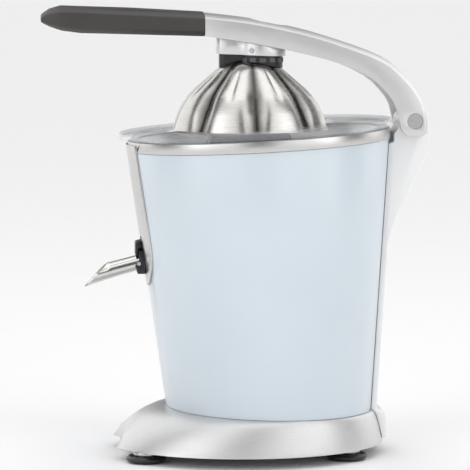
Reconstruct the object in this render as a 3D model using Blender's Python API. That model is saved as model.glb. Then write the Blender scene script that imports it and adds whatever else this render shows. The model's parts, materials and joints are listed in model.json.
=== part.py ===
"""Lever citrus press: base, body with geared motor, juice collector, spinning reamer, dome and lever.

Lengths are millimetres and angles are degrees; each mesh is scaled to metres when it is made.
+Z is up, -X is the front (spout side), +X the rear (hinge side), and Y = 0 is the plane of symmetry.
"""

import math

import bmesh
import bpy
from mathutils import Matrix, Vector

MM = 0.001
GAP = 0.3  # between pieces that rest on or run in each other
ROUND = 48  # sides of a large round piece
SMALL_ROUND = 20  # sides of a small round piece

# Feet
PAD_RADIUS = 16.0
PAD_HEIGHT = 5.0
STEM_RADIUS = 10.5
FRONT_FOOT_X = -74.0
REAR_FOOT_X = 85.0
FOOT_Y = 48.0

# Base
SKIRT_LOW_Z = 8.5
DECK_Z = 36.0
SKIRT_WALL = 2.5
BASE_CENTRE_X = 8.0
BASE_HALF_LENGTH = 111.0
BASE_HALF_WIDTH = 95.0
BAY_RADIUS = 60.0  # the hollow in front where the glass stands
BAY_DEPTH = 15.0
BAY_LEAN = 15.0
PLATE_THICKNESS = 2.5
DECK_HOLE_RADIUS = 52.0

# Body: a leaning cone, its lower edge high in front and its upper edge low in front
BODY_LOW_RADIUS = 82.6
BODY_TOP_RADIUS = 104.0
BODY_LOW_X = 27.0
BODY_TOP_X = 19.0
BODY_HEIGHT = 210.7
BODY_WALL = 1.2
BODY_LOW_TILT = 1.3
RIM_TILT = 3.04

# Juice collector
COLLECTOR_WALL = 1.0
RIM_PROUD = 0.8
RIM_BAND_HEIGHT = 8.0
BOWL_DEPTH = 98.0
BOWL_INSET = 6.0
BOWL_FLOOR_RADIUS = 86.0
LEDGE_DEPTH = 14.0
LEDGE_WIDTH = 5.0
TONGUE_HALF_WIDTH = 32.5
TONGUE_LENGTH = 113.0
TONGUE_PROUD = 1.3
CHIMNEY_TOP_Z = 228.0
CHIMNEY_WALL = 1.6

# Strainer and reamer
PRESS_X = 12.0
STRAINER_WALL = 0.9
STRAINER_DEPTH = 17.0
STRAINER_FLOOR_RADIUS = 56.0
STRAINER_SLOTS = 16
REAMER_RADIUS = 39.0
REAMER_HEIGHT = 52.0
REAMER_RIBS = 8
REAMER_RIM_HEIGHT = 5.0

# Clear splash cover
COVER_RADIUS = 110.0
COVER_WALL = 1.8
COVER_SHIFT = -1.3  # of the flange, forward of the rim
COVER_BAND_HEIGHT = 4.4
COVER_SEAT_HEIGHT = 2.2
COVER_OPENING_CLEARANCE = 4.5

# Pressing dome and its mounting
DOME_RADIUS = 63.0
DOME_HEIGHT = 54.5
DOME_RIM_Z = 259.0
DOME_WALL = 1.6
DOME_FLUTES = 8
DOME_FLUTE_DEPTH = 0.075  # share of the radius
COLLAR_RADIUS = 17.5
COLLAR_OFFSET = 8.6  # of the round part, behind the dome's axis
COLLAR_BLOCK_REACH = 24.6  # of the square part, in front of the dome's axis
COLLAR_BLOCK_HALF_WIDTH = 8.5
BRACKET_WALL = 1.4
BRACKET_CLEARANCE = 0.7
TILT_PIN_RADIUS = 1.6
SCREW_BITE = 4.0  # of the dome's screw into the collar
TILT_PIN_RISE = 8.1  # above the dome

# Lever and hinge
HINGE_X = 141.5
HINGE_Z = 265.7
KNUCKLE_RADIUS = 12.5
KNUCKLE_HALF_WIDTH = 18.0
CHEEK_CLEARANCE = 0.6
CHEEK_THICKNESS = 5.6
ARM_REACH = 166.5  # from the hinge forward to the grip
ARM_RISE = 81.6
ARM_FRONT_HALF_WIDTH = 18.0
ARM_CROWN = 4.5
HINGE_PIN_RADIUS = 4.0
HINGE_HEAD_RADIUS = 6.0
HINGE_HEAD_DEPTH = 3.0
GRIP_LENGTH = 128.7
GRIP_HALF_WIDTH = 19.0
TANG_LENGTH = 100.0
TANG_HALF_WIDTH = 9.0
TANG_HALF_HEIGHT = 3.2
BADGE_LENGTH = 24.0
BADGE_WIDTH = 16.0

# Rear spine
SPINE_PROUD = 3.0
SPINE_BEND_Z = 242.0
SPINE_MERGE_Z = 168.0
SPINE_FOOT_REACH = 2.0

# Spout and its holder
SPOUT_X = -77.5
SPOUT_Z = 152.7
SPOUT_SLOPE = 15.0
SPOUT_HALF_WIDTH = 9.0
SPOUT_HALF_HEIGHT = 6.1
SPOUT_MOUTH_HALF_WIDTH = 12.5
SPOUT_LENGTH = 46.0
SPOUT_TOP_LENGTH = 21.0
SPOUT_WALL = 0.9
HOLDER_WALL = 2.2
SPOUT_PIN_RADIUS = 1.5

# Drive: motor, two gear stages and the spindle
SHAFT_RADIUS = 5.0
SHAFT_TOP_Z = 246.0
PRESS_TRAVEL = 1.5
FIRST_MODULE = 1.0
PINION_TEETH = 10
WHEEL_TEETH = 40
SECOND_MODULE = 1.25
IDLER_TEETH = 12
OUTPUT_TEETH = 36
GEAR_FACE = 7.0
GEAR_PLATE_Z = 104.0
GEAR_PLATE_THICKNESS = 5.0
MOTOR_RADIUS = 28.0
MOTOR_HEIGHT = 52.0
SPRING_RADIUS = 7.5
SPRING_WIRE = 0.8
SPRING_TURNS = 4

for old in list(bpy.data.objects):
    bpy.data.objects.remove(old)


# ---------- worked out from the sizes above ----------

BODY_LOW_Z = DECK_Z + GAP
BODY_TOP_Z = BODY_LOW_Z + BODY_HEIGHT
RIM_Z = BODY_TOP_Z + GAP + RIM_BAND_HEIGHT
RIM_RADIUS = BODY_TOP_RADIUS + RIM_PROUD
BOWL_RADIUS = BODY_TOP_RADIUS - BODY_WALL - BOWL_INSET
CHIMNEY_RADIUS = SHAFT_RADIUS + GAP + 1.2
HINGE = Vector((HINGE_X, 0, HINGE_Z))
DOME_TOP_Z = DOME_RIM_Z + DOME_HEIGHT
FIRST_CENTRES = FIRST_MODULE * (PINION_TEETH + WHEEL_TEETH) / 2
SECOND_CENTRES = SECOND_MODULE * (IDLER_TEETH + OUTPUT_TEETH) / 2
IDLER_X = PRESS_X + SECOND_CENTRES
MOTOR_X = IDLER_X + FIRST_CENTRES
FIRST_GEAR_Z = GEAR_PLATE_Z + GEAR_PLATE_THICKNESS + 2
SECOND_GEAR_Z = FIRST_GEAR_Z + GEAR_FACE + 1
GEAR_COVER_Z = SECOND_GEAR_Z + GEAR_FACE + PRESS_TRAVEL + 3
MOTOR_TOP_Z = GEAR_PLATE_Z - GAP
CUP_TOP_Z = GEAR_PLATE_Z - 8
TILT_PIN_Z = DOME_TOP_Z + TILT_PIN_RISE


def slope(angle):
    return math.tan(math.radians(angle))


def tilted_frame(x, z, angle):
    """A frame at (x, 0, z), turned about +Y; a negative angle puts the front low."""
    return Matrix.Translation((x, 0, z)) @ Matrix.Rotation(math.radians(angle), 4, "Y")


RIM_FRAME = tilted_frame(BODY_TOP_X, RIM_Z, -RIM_TILT)
SPOUT_FRAME = tilted_frame(SPOUT_X, SPOUT_Z, -SPOUT_SLOPE)


def upright(x=0.0, z=0.0):
    return Matrix.Translation((x, 0, z))


# ---------- materials and modelling helpers ----------


def material(name, colour, roughness, metallic=0.0, alpha=1.0):
    made = bpy.data.materials.new(name)
    made.use_nodes = True
    shader = made.node_tree.nodes["Principled BSDF"]
    shader.inputs["Base Color"].default_value = (*colour, 1)
    shader.inputs["Roughness"].default_value = roughness
    shader.inputs["Metallic"].default_value = metallic
    shader.inputs["Alpha"].default_value = alpha
    return made


PAINT = material("pale_blue_paint", (0.68, 0.75, 0.80), 0.35)
BRUSHED = material("brushed_steel", (0.62, 0.61, 0.59), 0.32, 1.0)
CAST = material("cast_aluminium", (0.80, 0.80, 0.80), 0.42, 1.0)
WHITE_METAL = material("spine_metal", (0.90, 0.90, 0.90), 0.4, 0.6)
GRIP_BLACK = material("grip_rubber", (0.065, 0.062, 0.062), 0.6)
BLACK = material("black_plastic", (0.02, 0.02, 0.024), 0.4)
GREY = material("grey_plastic", (0.25, 0.25, 0.26), 0.5)
GEAR_WHITE = material("gear_plastic", (0.75, 0.73, 0.68), 0.5)
STEEL = material("steel", (0.5, 0.5, 0.5), 0.3, 1.0)
CLEAR = material("clear_plastic", (0.9, 0.92, 0.93), 0.08, 0.0, 0.3)


def finish(bm, name, look, smooth_angle=35):
    """Closes the mesh in millimetres, scales it to metres and makes the named object."""
    bmesh.ops.remove_doubles(bm, verts=bm.verts, dist=0.0005)
    bmesh.ops.recalc_face_normals(bm, faces=bm.faces)
    bmesh.ops.scale(bm, vec=(MM, MM, MM), verts=bm.verts)
    mesh = bpy.data.meshes.new(name)
    bm.to_mesh(mesh)
    bm.free()
    made = bpy.data.objects.new(name, mesh)
    bpy.context.scene.collection.objects.link(made)
    mesh.materials.append(look)
    mesh.shade_smooth()
    mesh.set_sharp_from_angle(angle=math.radians(smooth_angle))
    return made


def arc(x, z, radius, start, end, count):
    """Points on an arc in a plane, from one angle to another."""
    angles = [math.radians(start + (end - start) * i / count) for i in range(count + 1)]
    return [(x + radius * math.cos(a), z + radius * math.sin(a)) for a in angles]


def turned(name, look, profile, frame, sides=ROUND):
    """A closed (radius, height) outline spun round the frame's Z axis."""
    bm = bmesh.new()
    corners = [bm.verts.new((max(r, 0.0), 0, z)) for r, z in profile]
    edges = [bm.edges.new((a, b)) for a, b in zip(corners, corners[1:] + corners[:1])]
    bmesh.ops.spin(
        bm, geom=corners + edges, axis=(0, 0, 1), cent=(0, 0, 0), angle=math.tau, steps=sides, use_merge=True
    )
    bmesh.ops.remove_doubles(bm, verts=bm.verts, dist=0.0005)
    bmesh.ops.dissolve_degenerate(bm, edges=bm.edges, dist=0.0005)
    on_axis = [e for e in bm.edges if not e.link_faces]
    bmesh.ops.delete(bm, geom=on_axis, context="EDGES")
    bm.transform(frame)
    return finish(bm, name, look)


def cylinder(name, look, radius, low, high, x=0.0, y=0.0, sides=SMALL_ROUND):
    bm = bmesh.new()
    place = Matrix.Translation((x, y, (low + high) / 2))
    bmesh.ops.create_cone(
        bm, cap_ends=True, segments=sides, radius1=radius, radius2=radius, depth=high - low, matrix=place
    )
    return finish(bm, name, look)


def cross_cylinder(name, look, radius, x, z, near, far, sides=SMALL_ROUND):
    """A cylinder along Y, from y = near to y = far."""
    bm = bmesh.new()
    turn = Matrix.Rotation(math.radians(90), 4, "X")
    place = Matrix.Translation((x, (near + far) / 2, z)) @ turn
    bmesh.ops.create_cone(
        bm, cap_ends=True, segments=sides, radius1=radius, radius2=radius, depth=far - near, matrix=place
    )
    return finish(bm, name, look)


def side_prism(name, look, outline, near, far):
    """An (x, z) outline extruded along Y."""
    bm = bmesh.new()
    face = bm.faces.new([bm.verts.new((x, near, z)) for x, z in outline])
    grown = bmesh.ops.extrude_face_region(bm, geom=[face])["geom"]
    moved = [v for v in grown if isinstance(v, bmesh.types.BMVert)]
    bmesh.ops.translate(bm, vec=(0, far - near, 0), verts=moved)
    return finish(bm, name, look)


def flat_prism(name, look, outline, low, high, frame=None):
    """An (x, y) outline extruded upwards, in a frame of its own if one is given."""
    bm = bmesh.new()
    face = bm.faces.new([bm.verts.new((x, y, low)) for x, y in outline])
    grown = bmesh.ops.extrude_face_region(bm, geom=[face])["geom"]
    moved = [v for v in grown if isinstance(v, bmesh.types.BMVert)]
    bmesh.ops.translate(bm, vec=(0, 0, high - low), verts=moved)
    bm.transform(frame or Matrix())
    return finish(bm, name, look)


def skinned(name, look, rings, frame=None, joined_ends=False):
    """Quads between rings of equal length; the ends are capped, or joined to each other."""
    bm = bmesh.new()
    rows = [[bm.verts.new(p) for p in ring] for ring in rings]
    pairs = list(zip(rows, rows[1:]))
    if joined_ends:
        pairs.append((rows[-1], rows[0]))
    else:
        bm.faces.new(rows[0][::-1])
        bm.faces.new(rows[-1])
    for low, high in pairs:
        for i in range(len(low)):
            j = (i + 1) % len(low)
            bm.faces.new((low[i], low[j], high[j], high[i]))
    bm.transform(frame or Matrix())
    return finish(bm, name, look)


def boolean(target, tool, operation):
    step = target.modifiers.new(tool.name, "BOOLEAN")
    step.operation = operation
    step.solver = "EXACT"
    step.object = tool
    tool.hide_render = True
    tool.display_type = "WIRE"
    return target


def cut(target, *tools):
    for tool in tools:
        boolean(target, tool, "DIFFERENCE")
    return target


def join(target, *tools):
    for tool in tools:
        boolean(target, tool, "UNION")
    return target


def joint(name, x, z):
    """An empty on a joint's axis; the pieces that move with it are its children."""
    made = bpy.data.objects.new(name, None)
    made.location = Vector((x, 0, z)) * MM
    bpy.context.scene.collection.objects.link(made)
    return made


def hang(pivot, *pieces):
    for piece in pieces:
        piece.data.transform(Matrix.Translation(-pivot.location))
        piece.parent = pivot


def smooth_curve(points, steps):
    """Catmull-Rom curve through the points."""
    ends = [points[0], *points, points[-1]]
    made = []
    for a, b, c, d in zip(ends, ends[1:], ends[2:], ends[3:]):
        for i in range(steps):
            t = i / steps
            made.append(
                tuple(
                    0.5 * (2 * q + (r - p) * t + (2 * p - 5 * q + 4 * r - s) * t**2)
                    + 0.5 * (3 * q - p - 3 * r + s) * t**3
                    for p, q, r, s in zip(a, b, c, d)
                )
            )
    return made + [points[-1]]


# ---------- the leaning body ----------


def body_ring(share, offset, sides=ROUND):
    """The body's outline at a share of its height, grown by offset."""
    x = BODY_LOW_X + (BODY_TOP_X - BODY_LOW_X) * share
    z = BODY_LOW_Z + BODY_HEIGHT * share
    radius = BODY_LOW_RADIUS + (BODY_TOP_RADIUS - BODY_LOW_RADIUS) * share + offset
    lean = -slope(BODY_LOW_TILT) + (slope(RIM_TILT) + slope(BODY_LOW_TILT)) * share
    turns = [math.tau * i / sides for i in range(sides)]
    return [
        (x + radius * math.cos(a), radius * math.sin(a), z + lean * radius * math.cos(a)) for a in turns
    ]


def body_block(name, offset, low=0.0, high=1.0):
    """The body as a solid block, grown by offset."""
    return skinned(name, PAINT, [body_ring(low, offset), body_ring(high, offset)])


def tongue_outline(inset):
    """The front tongue seen from the front, as (y, z): straight sides and a round lower end."""
    half_width = TONGUE_HALF_WIDTH - inset
    low = RIM_Z - RIM_BAND_HEIGHT - TONGUE_LENGTH + inset
    bottom = arc(0, low + half_width, half_width, 180, 360, 12)
    return [*bottom, (half_width, RIM_Z + 50), (-half_width, RIM_Z + 50)]


def front_prism(name, look, outline, rear, front):
    """A (y, z) outline extruded along X."""
    bm = bmesh.new()
    face = bm.faces.new([bm.verts.new((rear, y, z)) for y, z in outline])
    grown = bmesh.ops.extrude_face_region(bm, geom=[face])["geom"]
    moved = [v for v in grown if isinstance(v, bmesh.types.BMVert)]
    bmesh.ops.translate(bm, vec=(front - rear, 0, 0), verts=moved)
    return finish(bm, name, look)


def body_shell():
    shell = body_block("body_shell", 0.0)
    inside = body_block("body_inside", -BODY_WALL, -0.1, 1.1)
    slot = front_prism("body_slot", PAINT, tongue_outline(5), BODY_TOP_X - 40, -400)
    return cut(shell, inside, slot)


# ---------- base ----------


SKIRT_SHARES = (0.0, 0.12, 0.35, 0.6, 0.8, 0.93, 1.0)  # heights of the base's rings


def skirt_ring(share, offset):
    """The base's outline from its lower edge (0) to the deck (1), bulging outwards between."""
    spread = 0.45 * (1 - share) + 0.55 * math.sqrt(max(0.0, 1 - share * share))
    low_x, low_a, low_b = BASE_CENTRE_X, BASE_HALF_LENGTH, BASE_HALF_WIDTH
    top_r = BODY_LOW_RADIUS + 1.2
    x = BODY_LOW_X + (low_x - BODY_LOW_X) * spread
    a = top_r + (low_a - top_r) * spread + offset
    b = top_r + (low_b - top_r) * spread + offset
    z = SKIRT_LOW_Z + (DECK_Z - SKIRT_LOW_Z) * share
    lean = slope(BODY_LOW_TILT) * share
    turns = [math.tau * i / ROUND for i in range(ROUND)]
    return [(x + a * math.cos(t), b * math.sin(t), z - lean * a * math.cos(t)) for t in turns]


def bay_cutter(name, offset):
    """The round hollow in front, leaning back to the deck, grown by offset."""
    low_x = BASE_CENTRE_X - BASE_HALF_LENGTH + BAY_DEPTH - BAY_RADIUS
    rings = []
    for z in (-20, 80):
        x = low_x + (z - SKIRT_LOW_Z) * slope(BAY_LEAN)
        rings.append([(px, py, z) for px, py in arc(x, 0, BAY_RADIUS + offset, 0, 352.5, ROUND - 1)])
    return skinned(name, BRUSHED, rings)


def base_skirt():
    skirt = skinned("base_skirt", BRUSHED, [skirt_ring(s, 0.0) for s in SKIRT_SHARES])
    hollow_rings = [skirt_ring(s, -SKIRT_WALL) for s in SKIRT_SHARES[:-1]]
    below = [(x, y, z - 10) for x, y, z in hollow_rings[0]]
    top = [(x, y, z - SKIRT_WALL * 0.4) for x, y, z in hollow_rings[-1]]
    hollow = skinned("skirt_hollow", BRUSHED, [below, *hollow_rings[:-1], top])
    cut(hollow, bay_cutter("hollow_bay", SKIRT_WALL))
    hole = cylinder("deck_hole", BRUSHED, DECK_HOLE_RADIUS, 20, 60, BODY_LOW_X, sides=ROUND)
    return cut(skirt, bay_cutter("skirt_bay", 0.0), hollow, hole)


def base_plate():
    outline = [(x, y) for x, y, z in skirt_ring(0.13, -SKIRT_WALL - 2 * GAP)]
    low = SKIRT_LOW_Z
    plate = flat_prism("base_plate", GREY, outline, low, low + PLATE_THICKNESS)
    return cut(plate, bay_cutter("plate_bay", SKIRT_WALL + 2 * GAP))


def feet():
    stem_top = SKIRT_LOW_Z - GAP
    places = [(x, y) for x in (FRONT_FOOT_X, REAR_FOOT_X) for y in (-FOOT_Y, FOOT_Y)]
    for number, (x, y) in enumerate(places, 1):
        at = Matrix.Translation((x, y, 0))
        lip = PAD_RADIUS - 2
        edge = [(PAD_RADIUS, 2), (PAD_RADIUS, 3.2)]
        pad_profile = [(0, 0), (lip, 0), *edge, (lip, PAD_HEIGHT), (0, PAD_HEIGHT)]
        turned(f"foot_pad_{number}", BLACK, pad_profile, at, SMALL_ROUND)
        cylinder(f"foot_stem_{number}", STEEL, STEM_RADIUS, PAD_HEIGHT + GAP, stem_top, x, y)


# ---------- juice collector ----------


def collector():
    """Rim band, bowl, drain neck, chimney round the spindle, and the tongue down the body's front."""
    wall = COLLECTOR_WALL
    ledge_radius = BOWL_RADIUS - LEDGE_WIDTH
    floor = -BOWL_DEPTH
    outside = [
        (0, 0),
        (RIM_RADIUS, 0),
        (RIM_RADIUS, -RIM_BAND_HEIGHT),
        (RIM_RADIUS - wall, -RIM_BAND_HEIGHT),
        (RIM_RADIUS - wall, -wall),
        (BOWL_RADIUS, -wall),
        (BOWL_RADIUS, -LEDGE_DEPTH - wall),
        (ledge_radius, -LEDGE_DEPTH - wall),
        (BOWL_FLOOR_RADIUS, floor + 6),
        (BOWL_FLOOR_RADIUS - 6, floor),
        (0, floor),
    ]
    inside = [
        (0, floor + wall),
        (BOWL_FLOOR_RADIUS - 6, floor + wall),
        (BOWL_FLOOR_RADIUS - wall, floor + 6),
        (ledge_radius - wall, -LEDGE_DEPTH),
        (BOWL_RADIUS - wall, -LEDGE_DEPTH),
        (BOWL_RADIUS - wall, 20),
        (0, 20),
    ]
    bowl = turned("juice_collector", BRUSHED, outside, RIM_FRAME)
    neck = skinned("neck", BRUSHED, [spout_section(x, 0, 2.0) for x in (-20, -8.2)], SPOUT_FRAME)
    join(bowl, neck)
    cut(bowl, turned("bowl_inside", BRUSHED, inside, RIM_FRAME))

    over_body = 1 + GAP / BODY_HEIGHT
    tongue = body_block("tongue_skin", TONGUE_PROUD, 0.3, 1.03)
    cut(
        tongue,
        body_block("tongue_under", GAP, 0.2, over_body),
        body_block("tongue_inner", RIM_PROUD - wall, 0.25, 1.1),
        front_prism("spout_window", BRUSHED, holder_outline(GAP), SPOUT_X + 12, -400),
    )
    ahead = front_prism("tongue_shape", BRUSHED, tongue_outline(0), BODY_TOP_X - 40, -400)
    boolean(tongue, ahead, "INTERSECT")

    base_z = RIM_Z - BOWL_DEPTH
    chimney = cylinder("chimney", BRUSHED, CHIMNEY_RADIUS + CHIMNEY_WALL, base_z - 4, CHIMNEY_TOP_Z, PRESS_X)
    bore = cylinder("chimney_bore", BRUSHED, CHIMNEY_RADIUS, base_z - 30, CHIMNEY_TOP_Z + 30, PRESS_X)
    neck_bore = skinned("neck_bore", BRUSHED, [spout_section(x, 0, -1.0) for x in (-24, 10)], SPOUT_FRAME)
    join(bowl, tongue, chimney)
    return cut(bowl, bore, neck_bore)


# ---------- strainer, reamer, cover ----------


def strainer():
    wall = STRAINER_WALL
    rim = BOWL_RADIUS - COLLECTOR_WALL - GAP
    top = -LEDGE_DEPTH + GAP
    flange = BOWL_RADIUS - LEDGE_WIDTH - 2 * GAP - COLLECTOR_WALL
    shift = PRESS_X - BODY_TOP_X
    bottom = top - STRAINER_DEPTH
    hole = CHIMNEY_RADIUS + CHIMNEY_WALL + 3.5

    def ring(x, radius, z):
        turns = [math.tau * i / ROUND for i in range(ROUND)]
        return [(x + radius * math.cos(t), radius * math.sin(t), z) for t in turns]

    rings = [
        ring(0, rim, top),
        ring(0, rim, top + wall),
        ring(0, flange - wall, top + wall),
        ring(shift, STRAINER_FLOOR_RADIUS - wall, bottom + wall),
        ring(shift, hole, bottom + wall),
        ring(shift, hole, bottom),
        ring(shift, STRAINER_FLOOR_RADIUS, bottom),
        ring(0, flange, top),
    ]
    basket = skinned("strainer", BRUSHED, rings, RIM_FRAME, joined_ends=True)
    for i in range(STRAINER_SLOTS):
        turn = Matrix.Rotation(math.tau * (i + 0.5) / STRAINER_SLOTS, 4, "Z")
        outline = [(20, -1.1), (STRAINER_FLOOR_RADIUS - 8, -1.6), (STRAINER_FLOOR_RADIUS - 8, 1.6), (20, 1.1)]
        at = RIM_FRAME @ Matrix.Translation((shift, 0, 0)) @ turn
        cut(basket, flat_prism(f"strainer_slot_{i}", BRUSHED, outline, bottom - 2, bottom + 3, at))
    return basket


def reamer():
    base_z = CHIMNEY_TOP_Z + 2.5
    hub = SHAFT_RADIUS + GAP
    rings = []
    levels = 8
    for k in range(levels):
        share = k / levels
        radius = REAMER_RADIUS * (1 - share**1.7) ** 0.75
        depth = 0.13 * math.sin(math.pi * min(1.0, share * 1.15 + 0.06))
        ring = []
        for i in range(ROUND):
            t = math.tau * i / ROUND
            rib = abs(math.cos(t * REAMER_RIBS / 2)) ** 0.8
            r = radius * (1 - depth * rib)
            z = base_z + REAMER_RIM_HEIGHT + REAMER_HEIGHT * share
            ring.append((PRESS_X + r * math.cos(t), r * math.sin(t), z))
        rings.append(ring)
    tip = [(PRESS_X + 2 * math.cos(math.tau * i / ROUND), 2 * math.sin(math.tau * i / ROUND),
            base_z + REAMER_RIM_HEIGHT + REAMER_HEIGHT) for i in range(ROUND)]
    foot = [(x, y, base_z) for x, y, z in rings[0]]
    cone = skinned("reamer", GREY, [foot, *rings, tip])
    socket = cylinder("reamer_socket", GREY, hub, base_z - 5, SHAFT_TOP_Z + GAP, PRESS_X)
    return cut(cone, socket)


def splash_cover():
    low = COVER_SEAT_HEIGHT
    high = low + COVER_BAND_HEIGHT
    wall = COVER_WALL
    seat = RIM_RADIUS - 2
    inner = DOME_RADIUS + COVER_OPENING_CLEARANCE
    shift = PRESS_X - BODY_TOP_X

    def ring(x, radius, z):
        turns = [math.tau * i / ROUND for i in range(ROUND)]
        return [(x + radius * math.cos(t), radius * math.sin(t), z) for t in turns]

    rings = [
        ring(COVER_SHIFT, COVER_RADIUS, low),
        ring(COVER_SHIFT, COVER_RADIUS, high),
        ring(shift, inner, high),
        ring(shift, inner, high - wall),
        ring(0, seat - wall, high - wall),
        ring(0, seat - wall, GAP),
        ring(0, seat, GAP),
        ring(0, seat, high - wall),
        ring(COVER_SHIFT, COVER_RADIUS - wall, high - wall),
        ring(COVER_SHIFT, COVER_RADIUS - wall, low),
    ]
    return skinned("splash_cover", CLEAR, rings, RIM_FRAME, joined_ends=True)


# ---------- spout ----------


def spout_section(x, grow=0.0, wall=0.0, sides=16):
    """An oval section of the spout passage at a distance behind (-) or ahead (+) of its pivot."""
    a = SPOUT_HALF_WIDTH + grow + wall
    b = SPOUT_HALF_HEIGHT + grow * 0.4 + wall
    turns = [math.tau * i / sides for i in range(sides)]
    return [(-x, a * math.sin(t), b * math.cos(t)) for t in turns]


def holder_outline(extra):
    """The spout holder seen from the front, as (y, z)."""
    half = SPOUT_HALF_WIDTH + HOLDER_WALL + 1.5 + extra
    low = SPOUT_Z - 8.5 - extra
    high = SPOUT_Z + 21.5 + extra
    return [(-half + 3, low), (half - 3, low), (half, low + 3), (half, high), (-half, high), (-half, low + 3)]


def spout_tube():
    widen = SPOUT_MOUTH_HALF_WIDTH - SPOUT_HALF_WIDTH
    lengths = (-2.5, 10.0, 22.0, 34.0, SPOUT_LENGTH)

    def section(x, wall):
        return spout_section(x, widen * (x / SPOUT_LENGTH) ** 2, wall)

    tube = skinned("spout_tube", BRUSHED, [section(x, 0.0) for x in lengths], SPOUT_FRAME)
    bore_rings = [section(x, -SPOUT_WALL) for x in (-6.0, *lengths[1:], 50.0)]
    bore = skinned("spout_bore", BRUSHED, bore_rings, SPOUT_FRAME)
    over = SPOUT_HALF_HEIGHT * 6
    bevel = [
        (-SPOUT_TOP_LENGTH, SPOUT_HALF_HEIGHT + 2),
        (-SPOUT_TOP_LENGTH - 2, over),
        (-SPOUT_LENGTH - 30, over),
        (-SPOUT_LENGTH - 30, -SPOUT_HALF_HEIGHT - 3),
        (-SPOUT_LENGTH, -SPOUT_HALF_HEIGHT - 1),
    ]
    mouth = side_prism("spout_mouth", BRUSHED, along_spout(bevel), -40, 40)
    return cut(tube, bore, mouth, spout_pin_bore("tube_pin_bore"))


def along_spout(points):
    """(x, z) points of the spout's own frame, in the part's frame."""
    placed = [SPOUT_FRAME @ Vector((x, 0, z)) for x, z in points]
    return [(p.x, p.z) for p in placed]


def spout_pin_bore(name):
    return cross_cylinder(name, STEEL, SPOUT_PIN_RADIUS + GAP, SPOUT_X, SPOUT_Z, -40, 40, 12)


def spout_pin():
    half = SPOUT_HALF_WIDTH + HOLDER_WALL + 1.0
    return cross_cylinder("spout_pin", STEEL, SPOUT_PIN_RADIUS, SPOUT_X, SPOUT_Z, -half, half, 12)


def spout_holder():
    half = SPOUT_HALF_WIDTH + HOLDER_WALL + 1.5
    low = SPOUT_Z - 8.0
    high = SPOUT_Z + 10.3
    back = SPOUT_X + 5.0
    front = SPOUT_X + 0.4
    nose = [(front, high), (front - 0.6, low + 8), (front - 2.8, low + 5), (front - 1.4, low)]
    outline = [(back, low), (back, high), *nose]
    holder = side_prism("spout_holder", BLACK, outline, -half, half)
    passage = skinned("holder_bore", BLACK, [spout_section(x, 0.0, 1.4) for x in (-12, 12)], SPOUT_FRAME)
    room = [(back + 5, SPOUT_Z + 2), (back + 5, high + 9), (front - 5, high + 9), (front - 5, SPOUT_Z + 2)]
    tab_room = side_prism("tab_room", BLACK, room, -SPOUT_HALF_WIDTH + 0.4, SPOUT_HALF_WIDTH - 0.4)
    return cut(holder, passage, tab_room, spout_pin_bore("holder_pin_bore"))


def spout_tab():
    """Thumb tab standing on the tube's root, over the holder."""
    half = SPOUT_HALF_WIDTH - 1
    front, rear, step = SPOUT_X - 2.6, SPOUT_X + 3.8, SPOUT_X + 0.1
    seat = SPOUT_Z + SPOUT_HALF_HEIGHT / math.cos(math.radians(SPOUT_SLOPE)) + GAP
    over = SPOUT_Z + 11.6
    outline = [
        (front, seat - 2.6 * slope(SPOUT_SLOPE)),
        (front, SPOUT_Z + 16.7),
        (rear, SPOUT_Z + 18.7),
        (rear, over + 0.8),
        (step, over),
        (step, seat),
    ]
    return side_prism("spout_tab", BLACK, outline, -half, half)


# ---------- pressing dome and its mounting ----------


DOME_PROFILE = smooth_curve(
    [
        (1.0, 0.0), (0.93, 0.254), (0.84, 0.436), (0.74, 0.572),
        (0.57, 0.74), (0.41, 0.89), (0.28, 0.965), (0.16, 1.0),
    ],
    1,
)


def dome_ring(radius_share, height_share, inset, drop=0.0):
    """A fluted ring of the dome: valleys that fade out at the rim and at the top."""
    depth = DOME_FLUTE_DEPTH * math.sin(math.pi * min(1.0, height_share + 0.01)) ** 0.6
    ring = []
    for i in range(ROUND):
        t = math.tau * i / ROUND
        valley = (0.5 + 0.5 * math.cos(DOME_FLUTES * t)) ** 2
        r = DOME_RADIUS * radius_share * (1 - depth * valley) - inset
        z = DOME_RIM_Z + DOME_HEIGHT * height_share - drop
        ring.append((PRESS_X + r * math.cos(t), r * math.sin(t), z))
    return ring


def flat_ring(radius, z):
    turns = [math.tau * i / ROUND for i in range(ROUND)]
    return [(PRESS_X + radius * math.cos(t), radius * math.sin(t), z) for t in turns]


def press_dome():
    outer = [dome_ring(r, h, 0.0) for r, h in DOME_PROFILE]
    inner = [dome_ring(r, h, DOME_WALL, DOME_WALL * h) for r, h in DOME_PROFILE]
    hole = 3.0 + GAP
    crown = [flat_ring(hole, DOME_TOP_Z), flat_ring(hole, DOME_TOP_Z - DOME_WALL)]
    return skinned("press_dome", BRUSHED, [*outer, *crown, *inner[::-1]], joined_ends=True)


def collar_outline(grow):
    """Top view of the collar: a round rear part and a square front part."""
    radius = COLLAR_RADIUS + grow
    half = COLLAR_BLOCK_HALF_WIDTH + grow
    x = PRESS_X + COLLAR_OFFSET
    meet = 180 - math.degrees(math.asin(half / radius))
    front = PRESS_X - COLLAR_BLOCK_REACH - grow
    corner = 3.0
    nose = [(front + corner, half), (front, half - corner), (front, corner - half), (front + corner, -half)]
    return [*arc(x, 0, radius, -meet, meet, 20), *nose]


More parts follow.
